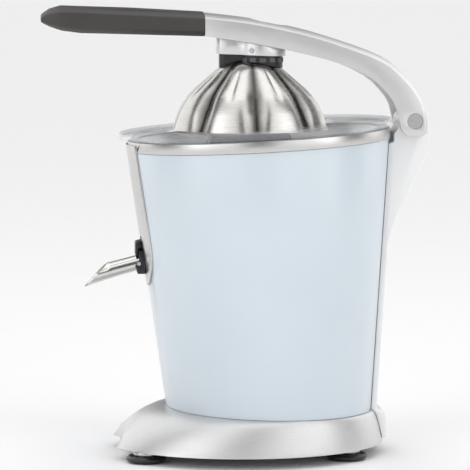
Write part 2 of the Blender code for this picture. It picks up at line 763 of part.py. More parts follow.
def collar_top(grow_ends, grow_middle):
    """Side view of the collar's top: high over the tilt pin and falling to both ends."""
    top = TILT_PIN_Z + TILT_PIN_RADIUS
    front = PRESS_X - COLLAR_BLOCK_REACH
    rear = PRESS_X + COLLAR_OFFSET + COLLAR_RADIUS
    return [
        (front - 20, top - 0.6 + grow_ends),
        (front, top - 0.6 + grow_ends),
        (PRESS_X - 7, top + 1.6 + grow_middle),
        (PRESS_X + 4, top + 1.2 + grow_middle),
        (rear, top - 4.6 + grow_ends),
        (rear + 20, top - 6.6 + grow_ends),
    ]


def above(name, line):
    """Everything above an (x, z) line."""
    sky = line[-1][1] + 200
    return side_prism(name, BLACK, [*line, (line[-1][0], sky), (line[0][0], sky)], -80, 80)


def tilt_pin_bore(name):
    return cross_cylinder(name, STEEL, TILT_PIN_RADIUS + GAP, PRESS_X, TILT_PIN_Z, -60, 60, 12)


def dome_collar():
    collar = flat_prism("dome_collar", BLACK, collar_outline(0.0), DOME_TOP_Z - 6.5, TILT_PIN_Z + 8)
    below = [flat_ring(DOME_RADIUS + GAP, DOME_RIM_Z)]
    below += [[(x, y, z + GAP) for x, y, z in dome_ring(r, h, -GAP)] for r, h in DOME_PROFILE[1:]]
    dome_room = skinned("dome_room", BLACK, below)
    low, high = DOME_TOP_Z - 10, DOME_TOP_Z + SCREW_BITE + 1
    screw_hole = cylinder("collar_screw_hole", BLACK, 2.0 + GAP, low, high, PRESS_X, sides=12)
    top = above("over_collar", collar_top(0, 0))
    return cut(collar, dome_room, top, tilt_pin_bore("collar_bore"), screw_hole)


def dome_screw():
    low = DOME_TOP_Z - DOME_WALL - GAP
    tip = DOME_TOP_Z + SCREW_BITE
    profile = [(0, low - 2.2), (5, low - 2.2), (5.5, low), (2, low), (2, tip), (0, tip)]
    return turned("dome_screw", STEEL, profile, upright(PRESS_X), 12)


def tilt_pin():
    half = math.sqrt((COLLAR_RADIUS + BRACKET_CLEARANCE + BRACKET_WALL) ** 2 - COLLAR_OFFSET**2) - 0.6
    return cross_cylinder("tilt_pin", STEEL, TILT_PIN_RADIUS, PRESS_X, TILT_PIN_Z, -half, half, 12)


def dome_bracket():
    """A downward cup under the arm that takes the collar's top and the tilt pin."""
    low = TILT_PIN_Z - 12
    outer = collar_outline(BRACKET_CLEARANCE + BRACKET_WALL)
    cup = flat_prism("dome_bracket", CAST, outer, low, HINGE_Z + ARM_RISE)
    room = flat_prism("bracket_room", CAST, collar_outline(BRACKET_CLEARANCE), low - 9, TILT_PIN_Z + 9)
    cut(room, above("bracket_roof", collar_top(1.6, 0.8)))
    front, rear = PRESS_X - 80, PRESS_X + 80
    edge_front, edge_rear = TILT_PIN_Z - 0.5, TILT_PIN_Z - 6.5
    lower_edge = [(front, edge_front), (rear, edge_rear), (rear, low - 40), (front, low - 40)]
    under = side_prism("bracket_edge", CAST, lower_edge, -80, 80)
    arm_line = [(x, z - GAP) for x, z in arm_curve(ARM_LOW)]
    return cut(cup, room, under, above("arm_over_bracket", arm_line), tilt_pin_bore("bracket_bore"))


# ---------- lever, grip and hinge ----------


# Each half of the arm's side outline: far points as shares of reach and rise, near points in knuckle radii.
ARM_TOP = (
    [(1.0, 1.0), (0.787, 0.947), (0.547, 0.846), (0.354, 0.729), (0.162, 0.576)],
    [(-0.85, 2.72), (0.14, 1.49), (0.57, 0.32), (0.66, -0.62), (0.46, -0.93)],
)
ARM_LOW = (
    [(1.0, 0.827), (0.787, 0.764), (0.547, 0.664), (0.354, 0.556), (0.21, 0.418)],
    [(-1.75, 1.75), (-1.23, 0.92), (-0.99, -0.1), (-0.8, -0.62), (-0.42, -0.93)],
)


def arm_curve(half):
    far, near = half
    points = [(HINGE_X - ARM_REACH * x, HINGE_Z + ARM_RISE * z) for x, z in far]
    points += [(HINGE_X + KNUCKLE_RADIUS * x, HINGE_Z + KNUCKLE_RADIUS * z) for x, z in near]
    return smooth_curve(points, 3)


def arm_half_width(x):
    rear = KNUCKLE_HALF_WIDTH + CHEEK_CLEARANCE + CHEEK_THICKNESS
    share = min(1.0, max(0.0, (HINGE_X - x) / ARM_REACH))
    return rear + (ARM_FRONT_HALF_WIDTH - rear) * share


def about_hinge(points):
    return [(HINGE_X + KNUCKLE_RADIUS * x, HINGE_Z + KNUCKLE_RADIUS * z) for x, z in points]


def crowned_section(top, low, half_width, crown):
    """Flat sides and a crowned top, as eight points between a top and a low point of the side outline."""
    up = Vector((top[0] - low[0], 0, top[1] - low[1])).normalized() * crown
    edge, foot = Vector((top[0], 0, top[1])), Vector((low[0], 0, low[1]))
    side, inner = Vector((0, half_width, 0)), Vector((0, half_width * 0.6, 0))
    return [
        foot - side,
        edge - side,
        edge - inner + up * 0.72,
        edge + up,
        edge + inner + up * 0.72,
        edge + side,
        foot + side,
        foot,
    ]


def tang_outline(grow, length):
    """Side view of the flat tang that carries the grip."""
    front = HINGE_X - ARM_REACH - length - grow
    rear = HINGE_X - ARM_REACH + 6
    middle = HINGE_Z + ARM_RISE - 6.8
    rise = 0.045 * (rear - front)
    half = TANG_HALF_HEIGHT + grow
    tip = middle + rise
    return [(rear, middle - half), (rear, middle + half), (front, tip + half), (front, tip - half)]


def badge_frame():
    tops = arm_curve(ARM_TOP)
    x = PRESS_X + 13.5
    after = next(i for i, p in enumerate(tops) if p[0] > x)
    (x0, z0), (x1, z1) = tops[after - 1], tops[after]
    z = z0 + (z1 - z0) * (x - x0) / (x1 - x0)
    return tilted_frame(x, z, math.degrees(math.atan2(z0 - z1, x1 - x0)))


def oval(half_length, half_width, sides=24):
    turns = [math.tau * i / sides for i in range(sides)]
    return [(half_length * math.cos(t), half_width * math.sin(t)) for t in turns]


def lever_arm():
    tops, lows = arm_curve(ARM_TOP), arm_curve(ARM_LOW)
    rings = [
        crowned_section(t, b, arm_half_width((t[0] + b[0]) / 2), ARM_CROWN) for t, b in zip(tops, lows)
    ]
    arm = skinned("lever_arm", CAST, rings)
    half = KNUCKLE_HALF_WIDTH + CHEEK_CLEARANCE
    roof = arc(0, 0, 1.0 + 0.8 / KNUCKLE_RADIUS, 58, 100, 5)
    front = [(-1.1, 2.08), (-2.24, 3.08), (-3.68, 3.64), (-4.16, 2.4), (-3.2, -2.4)]
    rear = [(3.2, -2.4), (3.2, 2.43), (1.52, 2.43)]
    slot = side_prism("arm_slot", CAST, about_hinge([*roof, *front, *rear]), -half, half)
    tang = side_prism("arm_tang", CAST, tang_outline(0.0, TANG_LENGTH), -TANG_HALF_WIDTH, TANG_HALF_WIDTH)
    pocket_shape = oval(BADGE_LENGTH / 2 + 2, BADGE_WIDTH / 2 + 2)
    pocket = flat_prism("badge_pocket", CAST, pocket_shape, ARM_CROWN - 3.2, 30, badge_frame())
    bore = cross_cylinder("arm_pin_bore", CAST, HINGE_PIN_RADIUS + GAP, HINGE_X, HINGE_Z, -60, 60)
    outer = half + CHEEK_THICKNESS
    seat = outer - HINGE_HEAD_DEPTH - GAP
    near_seat = cross_cylinder("near_seat", CAST, HINGE_HEAD_RADIUS + GAP, HINGE_X, HINGE_Z, -60, -seat)
    far_seat = cross_cylinder("far_seat", CAST, HINGE_HEAD_RADIUS + GAP, HINGE_X, HINGE_Z, seat, 60)
    join(arm, tang)
    return cut(arm, slot, pocket, bore, near_seat, far_seat)


def lever_badge():
    low = ARM_CROWN - 3.2 + GAP
    shape = oval(BADGE_LENGTH / 2, BADGE_WIDTH / 2)
    return flat_prism("lever_badge", STEEL, shape, low, low + 1.2, badge_frame())


def lever_grip():
    """A soft sleeve: crowned top, round lower edges and a blunt rounded nose."""
    rear = HINGE_X - ARM_REACH - GAP
    seat_top, seat_low = HINGE_Z + ARM_RISE, HINGE_Z + ARM_RISE * 0.827
    shares = (0.0, 0.2, 0.46, 0.76, 0.88, 0.95, 0.985, 1.0)
    rings = []
    for s in shares:
        x = rear - GRIP_LENGTH * s
        top = seat_top + 8.5 * s - 3.0 * s * s - 5.0 * max(0.0, (s - 0.88) / 0.12) ** 2
        low = seat_low + 3.6 * s + 7.5 * max(0.0, (s - 0.76) / 0.24) ** 2.2
        half = GRIP_HALF_WIDTH * (1 - 0.35 * max(0.0, (s - 0.8) / 0.2) ** 3)
        crown = ARM_CROWN * (1.15 - 0.6 * max(0.0, (s - 0.85) / 0.15) ** 2)
        soft = min(3.5, (top - low) / 4)
        rings.append(
            [
                (x, -half * 0.72, low),
                (x, -half, low + soft),
                (x, -half, top),
                (x, -half * 0.6, top + crown * 0.72),
                (x, 0, top + crown),
                (x, half * 0.6, top + crown * 0.72),
                (x, half, top),
                (x, half, low + soft),
                (x, half * 0.72, low),
            ]
        )
    grip = skinned("lever_grip", GRIP_BLACK, rings)
    half = TANG_HALF_WIDTH + GAP
    socket = side_prism("grip_socket", GRIP_BLACK, tang_outline(GAP, TANG_LENGTH), -half, half)
    return cut(grip, socket)


def hinge_pin():
    outer = KNUCKLE_HALF_WIDTH + CHEEK_CLEARANCE + CHEEK_THICKNESS
    inner = outer - HINGE_HEAD_DEPTH
    head, shank = HINGE_HEAD_RADIUS, HINGE_PIN_RADIUS
    end = inner - GAP
    profile = [(0, -outer), (head, -outer), (head, -inner), (shank, -inner), (shank, end), (0, end)]
    frame = Matrix.Translation(HINGE) @ Matrix.Rotation(math.radians(-90), 4, "X")
    pin = turned("hinge_pin", STEEL, profile, frame, SMALL_ROUND)
    angle = math.radians(-28)
    corners = [(-20, -0.7), (20, -0.7), (20, 0.7), (-20, 0.7)]
    along, across = math.cos(angle), math.sin(angle)
    line = [(HINGE_X + x * along - z * across, HINGE_Z + x * across + z * along) for x, z in corners]
    return cut(pin, side_prism("pin_slot", STEEL, line, -outer - 5, -outer + 1))


def hinge_nut():
    outer = KNUCKLE_HALF_WIDTH + CHEEK_CLEARANCE + CHEEK_THICKNESS
    low = outer - HINGE_HEAD_DEPTH
    return cross_cylinder("hinge_nut", STEEL, HINGE_HEAD_RADIUS, HINGE_X, HINGE_Z, low, outer)


def rear_spine():
    """The casting behind the body: foot, strip, gusset and the knuckle that carries the lever."""
    top = arc(HINGE_X, HINGE_Z, KNUCKLE_RADIUS, 0, 200, 16)
    rim_rear = BODY_TOP_X + RIM_RADIUS + 1.6
    inside = BODY_LOW_X + BODY_LOW_RADIUS - 25
    base_rear = BASE_CENTRE_X + BASE_HALF_LENGTH
    band_low = RIM_Z - RIM_BAND_HEIGHT + 2
    front = [(rim_rear, RIM_Z), (rim_rear, band_low), (inside, RIM_Z - 20), (inside, SKIRT_LOW_Z + 3)]
    foot_back = base_rear + SPINE_FOOT_REACH
    foot = [
        (foot_back - 1, SKIRT_LOW_Z + 3),
        (foot_back, SKIRT_LOW_Z + 13),
        (foot_back - 1.3, SKIRT_LOW_Z + 20),
        (foot_back - 2.2, DECK_Z - 3.5),
    ]

    def back(z):
        share = (z - BODY_LOW_Z) / BODY_HEIGHT
        return max(p[0] for p in body_ring(share, 0.0)) + SPINE_PROUD

    strip = [(back(z), z) for z in (DECK_Z - 2, (DECK_Z + SPINE_MERGE_Z) / 2, SPINE_MERGE_Z)]
    low_x, high_x = back(SPINE_MERGE_Z), HINGE_X + KNUCKLE_RADIUS - 0.3
    rise = SPINE_BEND_Z - SPINE_MERGE_Z
    shares = [(0.107, 0.165), (0.217, 0.305), (0.371, 0.433), (0.588, 0.648), (0.808, 0.84), (1.0, 1.0)]
    gusset = [(low_x + (high_x - low_x) * x, SPINE_MERGE_Z + rise * z) for x, z in shares]
    outline = [*top, *front, *foot, *strip, *gusset]
    half = KNUCKLE_HALF_WIDTH
    spine = side_prism("rear_spine", WHITE_METAL, outline, -half, half)
    body_room = body_block("body_room", GAP, -0.08, 1.0)
    skirt_room = skinned("skirt_room", BRUSHED, [skirt_ring(s, GAP) for s in SKIRT_SHARES])
    bore = cross_cylinder("knuckle_bore", STEEL, HINGE_PIN_RADIUS + GAP, HINGE_X, HINGE_Z, -60, 60)
    return cut(spine, body_room, skirt_room, bore)


# ---------- drive ----------


def gear(name, module, teeth, low, high, x, turn, bore, look=GEAR_WHITE):
    """A spur gear with thin trapezoidal teeth; turn puts the middle of a tooth at that angle."""
    root = module * (teeth / 2 - 1.25)
    tip = module * (teeth / 2 + 0.85)
    pitch = 360 / teeth
    outline = []
    for i in range(teeth):
        for share, radius in ((-0.3, root), (-0.1, tip), (0.1, tip), (0.3, root)):
            a = math.radians(turn + pitch * (i + share))
            outline.append((x + radius * math.cos(a), radius * math.sin(a)))
    wheel = flat_prism(name, look, outline, low, high)
    if bore:
        cut(wheel, cylinder(name + "_bore", look, bore, low - 5, high + 5, x, sides=16))
    return wheel


def drive():
    plate_high = GEAR_PLATE_Z + GEAR_PLATE_THICKNESS
    output_z = SECOND_GEAR_Z + PRESS_TRAVEL + 0.5
    reach = SECOND_MODULE * (OUTPUT_TEETH / 2 + 1) + 3
    box = (PRESS_X - reach, MOTOR_X + 11, reach)
    posts_x = (BODY_LOW_X - 41, BODY_LOW_X + 41)

    def box_outline(grow):
        low, high, half = box[0] - grow, box[1] + grow, box[2] + grow
        return [(low + 6, -half), (high - 6, -half), (high, -half + 6), (high, half - 6),
                (high - 6, half), (low + 6, half), (low, half - 6), (low, -half + 6)]

    half = 47
    plate_front, plate_rear = posts_x[0] - 6, posts_x[1] + 6
    plate_line = [(plate_front, -half), (plate_rear, -half), (plate_rear, half), (plate_front, half)]
    plate = flat_prism("gearbox_base", GREY, plate_line, GEAR_PLATE_Z, plate_high)
    for i, (x, y) in enumerate((x, y) for x in posts_x for y in (-41, 41)):
        foot_z = DECK_Z - slope(BODY_LOW_TILT) * (x - BODY_LOW_X) + GAP + 0.1
        join(plate, cylinder(f"plate_post_{i}", GREY, 4, foot_z, GEAR_PLATE_Z + 2, x, y, 12))
    cut(
        plate,
        cylinder("plate_shaft_hole", GREY, SHAFT_RADIUS + GAP, 90, 130, PRESS_X),
        cylinder("plate_rotor_hole", GREY, 2.5 + GAP, 90, 130, MOTOR_X),
        cylinder("plate_axle_hole", GREY, 2.5 + GAP, GEAR_PLATE_Z + 1, 130, IDLER_X),
    )
    cover = flat_prism("gearbox_cover", GREY, box_outline(2), plate_high + GAP, GEAR_COVER_Z + 2)
    room = flat_prism("cover_room", GREY, box_outline(0), plate_high - 5, GEAR_COVER_Z)
    cut(cover, room, cylinder("cover_hole", GREY, SHAFT_RADIUS + 3 + GAP, 90, 160, PRESS_X))
    bush_profile = [
        (SHAFT_RADIUS + GAP, GEAR_COVER_Z - 0.5),
        (SHAFT_RADIUS + 3, GEAR_COVER_Z - 0.5),
        (SHAFT_RADIUS + 3, GEAR_COVER_Z + 2 + GAP),
        (SHAFT_RADIUS + 6, GEAR_COVER_Z + 2 + GAP),
        (SHAFT_RADIUS + 6, GEAR_COVER_Z + 5),
        (SHAFT_RADIUS + GAP, GEAR_COVER_Z + 5),
    ]
    turned("shaft_bush", STEEL, bush_profile, upright(PRESS_X), SMALL_ROUND)
    cylinder("idler_axle", STEEL, 2.5, GEAR_PLATE_Z + 1 + GAP, GEAR_COVER_Z - GAP, IDLER_X, sides=16)

    wheel_top = FIRST_GEAR_Z + GEAR_FACE
    wheel = gear("idler_gear", FIRST_MODULE, WHEEL_TEETH, FIRST_GEAR_Z, wheel_top, IDLER_X, 0, None)
    small_top = output_z + GEAR_FACE + 0.5
    small = gear("idler_pinion", SECOND_MODULE, IDLER_TEETH, FIRST_GEAR_Z + 2, small_top, IDLER_X, 15, None)
    idler_bore = cylinder("idler_bore", STEEL, 2.5 + GAP, 90, 160, IDLER_X, sides=16)
    cut(join(wheel, small), idler_bore)
    hang(joint("idler_axis", IDLER_X, FIRST_GEAR_Z), wheel)

    low, top = MOTOR_TOP_Z - MOTOR_HEIGHT, MOTOR_TOP_Z
    hole, inner = 2.5 + GAP, MOTOR_RADIUS - 2
    can = [
        (hole, top), (MOTOR_RADIUS, top), (MOTOR_RADIUS, low), (hole, low),
        (hole, low + 2), (inner, low + 2), (inner, top - 2), (hole, top - 2),
    ]
    turned("motor_can", STEEL, can, upright(MOTOR_X), 32)
    core = MOTOR_RADIUS * 0.4
    rotor_profile = [
        (0, low - 2), (2.5, low - 2), (2.5, low + 9), (core, low + 9), (core, top - 9),
        (2.5, top - 9), (2.5, FIRST_GEAR_Z + GEAR_FACE), (0, FIRST_GEAR_Z + GEAR_FACE),
    ]
    rotor = turned("motor_rotor", STEEL, rotor_profile, upright(MOTOR_X), 24)
    pinion = gear(
        "motor_pinion", FIRST_MODULE, PINION_TEETH, FIRST_GEAR_Z - 0.5, FIRST_GEAR_Z + GEAR_FACE, MOTOR_X, 18,
        2.5 + GAP,
    )
    hang(joint("motor_axis", MOTOR_X, FIRST_GEAR_Z), rotor, pinion)

    cup_low = CUP_TOP_Z - 10
    shaft = cylinder("drive_shaft", STEEL, SHAFT_RADIUS, cup_low + 2 + GAP, SHAFT_TOP_Z, PRESS_X)
    output_bore = SHAFT_RADIUS + GAP
    output_top = output_z + GEAR_FACE
    output = gear("output_gear", SECOND_MODULE, OUTPUT_TEETH, output_z, output_top, PRESS_X, 0, output_bore)
    cup_profile = [
        (0, cup_low), (9, cup_low), (9, CUP_TOP_Z), (SHAFT_RADIUS + GAP, CUP_TOP_Z),
        (SHAFT_RADIUS + GAP, cup_low + 2), (0, cup_low + 2),
    ]
    cup = turned("thrust_cup", STEEL, cup_profile, upright(PRESS_X), SMALL_ROUND)
    seat = cup_low - 26
    button_top, switch_top = cup_low - GAP, cup_low - 7
    button = cylinder("switch_button", BLACK, 1.7, switch_top - 3, button_top, PRESS_X, sides=12)
    switch = cylinder("start_switch", BLACK, 5, seat + 4 + GAP, switch_top, PRESS_X, sides=16)
    button_low = switch_top - 3 - PRESS_TRAVEL - 1
    cut(switch, cylinder("button_hole", BLACK, 1.7 + GAP, button_low, 120, PRESS_X, sides=12))
    arms = [(-17, seat), (17, seat), (17, GEAR_PLATE_Z - GAP), (13, GEAR_PLATE_Z - GAP),
            (13, seat + 4), (-13, seat + 4), (-13, GEAR_PLATE_Z - GAP), (-17, GEAR_PLATE_Z - GAP)]
    bracket = front_prism("thrust_bracket", STEEL, arms, PRESS_X - 10, PRESS_X + 10)
    return_spring(seat + 4 + GAP, cup_low - GAP)
    return [cup, button], [shaft, output]


def return_spring(low, high):
    """A coil of round wire round the start switch, as a bevelled curve along a helix."""
    steps = SPRING_TURNS * 12
    line = bpy.data.curves.new("return_spring", "CURVE")
    line.dimensions = "3D"
    line.bevel_depth = SPRING_WIRE * MM
    line.bevel_resolution = 0
    line.use_fill_caps = True
    path = line.splines.new("POLY")
    path.points.add(steps)
    rise = high - low - 2 * SPRING_WIRE - 0.2
    for i, point in enumerate(path.points):
        t = math.tau * SPRING_TURNS * i / steps
        z = low + SPRING_WIRE + 0.1 + rise * i / steps
        place = Vector((PRESS_X + SPRING_RADIUS * math.cos(t), SPRING_RADIUS * math.sin(t), z))
        point.co = (*(place * MM), 1)
    made = bpy.data.objects.new("return_spring", line)
    bpy.context.scene.collection.objects.link(made)
    line.materials.append(STEEL)


def cord_gland():
    """The ring in the base's underside where the mains cord enters."""
    top = SKIRT_LOW_Z - GAP
    profile = [(3.5, top - 3), (6, top - 3), (7, top), (3.5, top)]
    return turned("cord_gland", BLACK, profile, upright(BODY_LOW_X + BODY_LOW_RADIUS - 14), SMALL_ROUND)


def plate_screws():
    top = SKIRT_LOW_Z - GAP
    for i, (x, y) in enumerate(((-30, -62), (-30, 62), (60, -62), (60, 62)), 1):
        cylinder(f"base_screw_{i}", STEEL, 3.2, top - 1.8, top, x, y, 12)


# ---------- assembly ----------

base_skirt()
base_plate()
feet()
plate_screws()
cord_gland()
body_shell()
rear_spine()
collector()
strainer()
spout_holder()
hang(joint("spout_axis", SPOUT_X, SPOUT_Z), spout_tube(), spout_tab(), spout_pin())
hang(joint("cover_seat", BODY_TOP_X, RIM_Z), splash_cover())
pressed, spun = drive()
hang(joint("press_axis", PRESS_X, CUP_TOP_Z), *pressed)
hang(joint("spindle_axis", PRESS_X, CUP_TOP_Z), *spun, reamer())
hang(
    joint("lever_axis", HINGE_X, HINGE_Z),
    lever_arm(), lever_badge(), lever_grip(), hinge_pin(), hinge_nut(), dome_bracket(), tilt_pin(),
)
hang(joint("dome_axis", PRESS_X, TILT_PIN_Z), dome_collar(), press_dome(), dome_screw())
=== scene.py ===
import json
import math
import bpy
from mathutils import Matrix, Vector


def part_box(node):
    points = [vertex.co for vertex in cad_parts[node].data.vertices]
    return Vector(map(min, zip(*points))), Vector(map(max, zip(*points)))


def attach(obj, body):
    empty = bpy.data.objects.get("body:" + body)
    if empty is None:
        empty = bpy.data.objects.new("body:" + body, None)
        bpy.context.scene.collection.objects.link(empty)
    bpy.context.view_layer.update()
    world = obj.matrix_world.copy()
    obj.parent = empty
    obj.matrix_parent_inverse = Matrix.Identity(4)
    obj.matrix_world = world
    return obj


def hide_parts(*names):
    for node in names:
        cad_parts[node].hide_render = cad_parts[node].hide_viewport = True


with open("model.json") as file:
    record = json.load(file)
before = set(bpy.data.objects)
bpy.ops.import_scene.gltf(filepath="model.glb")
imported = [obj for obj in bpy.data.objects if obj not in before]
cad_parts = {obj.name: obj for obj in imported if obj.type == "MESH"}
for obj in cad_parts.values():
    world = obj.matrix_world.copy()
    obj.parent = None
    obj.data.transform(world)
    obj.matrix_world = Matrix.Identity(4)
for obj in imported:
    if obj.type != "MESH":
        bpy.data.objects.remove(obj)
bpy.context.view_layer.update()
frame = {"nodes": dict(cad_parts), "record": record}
nodes = frame["nodes"]
mm = 0.001
print("frame loaded:", len(nodes), "nodes")


def bodyHolding(node):
    return next(b for b, names in frame["record"]["behaviour"]["bodies"].items() if node in names)


def onlySelect(obj):
    bpy.ops.object.select_all(action="DESELECT")
    obj.select_set(True)
    bpy.context.view_layer.objects.active = obj


# shared shader groups

def newGroup(name, inputs, outputs):
    group = bpy.data.node_groups.new(name, "ShaderNodeTree")
    for label, kind, value in inputs:
        made = group.interface.new_socket(label, in_out="INPUT", socket_type=kind)
        if value is not None:
            made.default_value = value
    for label, kind in outputs:
        group.interface.new_socket(label, in_out="OUTPUT", socket_type=kind)
    return group, group.nodes.new("NodeGroupInput"), group.nodes.new("NodeGroupOutput")


def mathNode(tree, operation, a, b=None):
    node = tree.nodes.new("ShaderNodeMath")
    node.operation = operation
    for socket, value in zip(node.inputs, (a, b)):
        if hasattr(value, "links"):
            tree.links.new(value, socket)
        elif value is not None:
            socket.default_value = value
    return node.outputs[0]


def buildBrushGroup():
    # fine parallel scratches: noise squeezed hard along one direction
    group, start, end = newGroup(
        "brushMarks",
        [
            ("Vector", "NodeSocketVector", None),
            ("Scale", "NodeSocketFloat", 900.0),
            ("Depth", "NodeSocketFloat", 0.1),
            ("WideShare", "NodeSocketFloat", 0.12),
        ],
        [("Marks", "NodeSocketFloat"), ("Wide", "NodeSocketFloat")],
    )
    fine = group.nodes.new("ShaderNodeTexNoise")
    fine.inputs["Detail"].default_value = 4.0
    fine.inputs["Roughness"].default_value = 0.7
    wide = group.nodes.new("ShaderNodeTexNoise")
    wide.inputs["Detail"].default_value = 1.0
    links = group.links
    links.new(start.outputs["Vector"], fine.inputs["Vector"])
    links.new(start.outputs["Scale"], fine.inputs["Scale"])
    links.new(start.outputs["Vector"], wide.inputs["Vector"])
    wideScale = mathNode(group, "MULTIPLY", start.outputs["Scale"], start.outputs["WideShare"])
    links.new(wideScale, wide.inputs["Scale"])
    centred = mathNode(group, "SUBTRACT", fine.outputs["Fac"], 0.5)
    links.new(mathNode(group, "MULTIPLY", centred, start.outputs["Depth"]), end.inputs["Marks"])
    links.new(mathNode(group, "SUBTRACT", wide.outputs["Fac"], 0.5), end.inputs["Wide"])
    return group


def buildGrainGroup():
    # small even grain for castings, paint and moulded plastic, with a broad mottle under it
    group, start, end = newGroup(
        "surfaceGrain",
        [("Scale", "NodeSocketFloat", 900.0), ("Mottle", "NodeSocketFloat", 30.0)],
        [("Grain", "NodeSocketFloat"), ("Mottle", "NodeSocketFloat")],
    )
    place = group.nodes.new("ShaderNodeTexCoord")
    fine = group.nodes.new("ShaderNodeTexNoise")
    fine.inputs["Detail"].default_value = 3.0
    broad = group.nodes.new("ShaderNodeTexNoise")
    broad.inputs["Detail"].default_value = 2.0
    links = group.links
    for texture, scale in ((fine, "Scale"), (broad, "Mottle")):
        links.new(place.outputs["Object"], texture.inputs["Vector"])
        links.new(start.outputs[scale], texture.inputs["Scale"])
    links.new(fine.outputs["Fac"], end.inputs["Grain"])
    links.new(broad.outputs["Fac"], end.inputs["Mottle"])
    return group


brushGroup = buildBrushGroup()
grainGroup = buildGrainGroup()


def emptyMaterial(name, values):
    made = bpy.data.materials.new(name)
    made.use_nodes = True
    shader = made.node_tree.nodes["Principled BSDF"]
    shader.inputs["Metallic"].default_value = values.get("metallic", 0.0)
    shader.inputs["Coat Weight"].default_value = values.get("coat", 0.0)
    shader.inputs["Coat Roughness"].default_value = values.get("coatRoughness", 0.1)
    return made, made.node_tree, shader


def colourBetween(tree, shader, factor, dark, light, reach=0.5):
    ramp = tree.nodes.new("ShaderNodeMapRange")
    ramp.inputs["From Min"].default_value = 0.5 - reach
    ramp.inputs["From Max"].default_value = 0.5 + reach
    mix = tree.nodes.new("ShaderNodeMix")
    mix.data_type = "RGBA"
    tree.links.new(factor, ramp.inputs["Value"])
    tree.links.new(ramp.outputs["Result"], mix.inputs[0])
    mix.inputs[6].default_value = (*dark, 1)
    mix.inputs[7].default_value = (*light, 1)
    tree.links.new(mix.outputs[2], shader.inputs["Base Color"])


grainValues = {"roughSpread": 0.1, "contrastReach": 0.3, "bumpDepth": 0.0003}


def grainyMaterial(name, values):
    # paint, plastic, rubber and castings
    made, tree, shader = emptyMaterial(name, values)
    group = tree.nodes.new("ShaderNodeGroup")
    group.node_tree = grainGroup
    group.inputs["Scale"].default_value = values["grainScale"]
    group.inputs["Mottle"].default_value = values.get("mottleScale", 25.0)
    reach = grainValues["contrastReach"]
    colourBetween(tree, shader, group.outputs["Mottle"], values["dark"], values["light"], reach)
    rough = mathNode(tree, "MULTIPLY_ADD", group.outputs["Grain"], grainValues["roughSpread"])
    rough.node.inputs[2].default_value = values["roughness"] - grainValues["roughSpread"] / 2
    tree.links.new(rough, shader.inputs["Roughness"])
    bump = tree.nodes.new("ShaderNodeBump")
    bump.inputs["Strength"].default_value = values["bump"]
    bump.inputs["Distance"].default_value = grainValues["bumpDepth"]
    tree.links.new(group.outputs["Grain"], bump.inputs["Height"])
    tree.links.new(bump.outputs["Normal"], shader.inputs["Normal"])
    return made


brushValues = {
    "turnStretch": 0.004, "xStretch": 0.03, "roughSpread": 0.12, "contrastReach": 0.35, "bumpDepth": 0.0001,
}


def brushedMaterial(name, values):
    # steel with brush marks along one direction, or round a vertical axis
    made, tree, shader = emptyMaterial(name, values)
    place = tree.nodes.new("ShaderNodeTexCoord")
    centre = tree.nodes.new("ShaderNodeMapping")
    centre.inputs["Location"].default_value = tuple(-c for c in values.get("centre", (0, 0, 0)))
    tree.links.new(place.outputs["Object"], centre.inputs["Vector"])
    parts = tree.nodes.new("ShaderNodeSeparateXYZ")
    tree.links.new(centre.outputs["Vector"], parts.inputs[0])
    joined = tree.nodes.new("ShaderNodeCombineXYZ")
    x, y, z = parts.outputs
    if values["marks"] == "round":
        squares = [mathNode(tree, "MULTIPLY", side, side) for side in (x, y)]
        radius = mathNode(tree, "SQRT", mathNode(tree, "ADD", *squares))
        turn = mathNode(tree, "MULTIPLY", mathNode(tree, "ARCTAN2", y, x), brushValues["turnStretch"])
        tree.links.new(turn, joined.inputs[0])
        tree.links.new(radius, joined.inputs[1])
        tree.links.new(z, joined.inputs[2])
    else:
        for socket, factor, into in zip((x, y, z), (brushValues["xStretch"], 1, 1), joined.inputs):
            tree.links.new(mathNode(tree, "MULTIPLY", socket, factor), into)
    group = tree.nodes.new("ShaderNodeGroup")
    group.node_tree = brushGroup
    group.inputs["Scale"].default_value = values["scale"]
    group.inputs["Depth"].default_value = 1.0
    tree.links.new(joined.outputs[0], group.inputs["Vector"])
    tone = mathNode(tree, "ADD", group.outputs["Marks"], 0.5)
    colourBetween(tree, shader, tone, values["dark"], values["light"], brushValues["contrastReach"])
    rough = mathNode(tree, "MULTIPLY_ADD", group.outputs["Wide"], brushValues["roughSpread"])
    rough.node.inputs[2].default_value = values["roughness"]
    tree.links.new(rough, shader.inputs["Roughness"])
    bump = tree.nodes.new("ShaderNodeBump")
    bump.inputs["Strength"].default_value = values["bump"]
    bump.inputs["Distance"].default_value = brushValues["bumpDepth"]
    tree.links.new(group.outputs["Marks"], bump.inputs["Height"])
    tree.links.new(bump.outputs["Normal"], shader.inputs["Normal"])
    shader.inputs["Anisotropic"].default_value = values.get("anisotropic", 0.0)
    return made


def buildValleyGroup():
    # 1 in the dome's main valleys, where the dark reflection is painted, 0 on the lobes
    group, start, end = newGroup(
        "valleyMask",
        [
            ("Vector", "NodeSocketVector", None),
            ("Flutes", "NodeSocketFloat", 8.0),
            ("Sharpness", "NodeSocketFloat", 6.0),
        ],
        [("Mask", "NodeSocketFloat")],
    )
    parts = group.nodes.new("ShaderNodeSeparateXYZ")
    group.links.new(start.outputs["Vector"], parts.inputs[0])
    turn = mathNode(group, "ARCTAN2", parts.outputs[1], parts.outputs[0])
    wave = mathNode(group, "COSINE", mathNode(group, "MULTIPLY", turn, start.outputs["Flutes"]))
    level = mathNode(group, "MULTIPLY", mathNode(group, "ADD", wave, 1.0), 0.5)
    group.links.new(mathNode(group, "POWER", level, start.outputs["Sharpness"]), end.inputs["Mask"])
    return group


